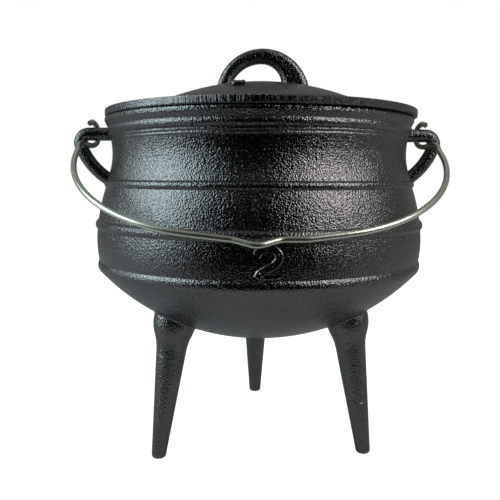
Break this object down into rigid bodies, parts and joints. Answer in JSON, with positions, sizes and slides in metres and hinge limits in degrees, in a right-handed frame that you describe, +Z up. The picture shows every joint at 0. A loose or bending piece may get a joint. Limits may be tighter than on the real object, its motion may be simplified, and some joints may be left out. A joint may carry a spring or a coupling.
{
  "type": "potjie pot",
  "caption": "Round-bellied cast-iron pot on legs, with cast ears, a domed lid with a loop handle and a swinging wire bail.",
  "frame": {"origin": "on the floor, on the pot's own axis", "axes": "+Z up along the pot's axis, +X from ear to ear, towards the right ear as seen from the front; the front, where the bail lies, faces -Y"},
  "size_m": [0.2912, 0.2648, 0.3097],
  "materials": {
    "pot_iron": "black seasoned casting, semi-gloss, finely pebbled",
    "lid_iron": "black seasoned casting, satin, ground edge",
    "bail_wire": "dull galvanised wire"
  },
  "bodies": {
    "pot": {"pot": "pot_iron", "lid": "lid_iron"},
    "bail": {"bail": "bail_wire"}
  },
  "joints": [
    {"name": "bail_swing", "type": "hinge", "parent": "pot", "child": "bail", "pos_m": [0, 0, 0.24355], "axis": [-1, 0, 0], "range_deg": [0, 236.4]}
  ]
}
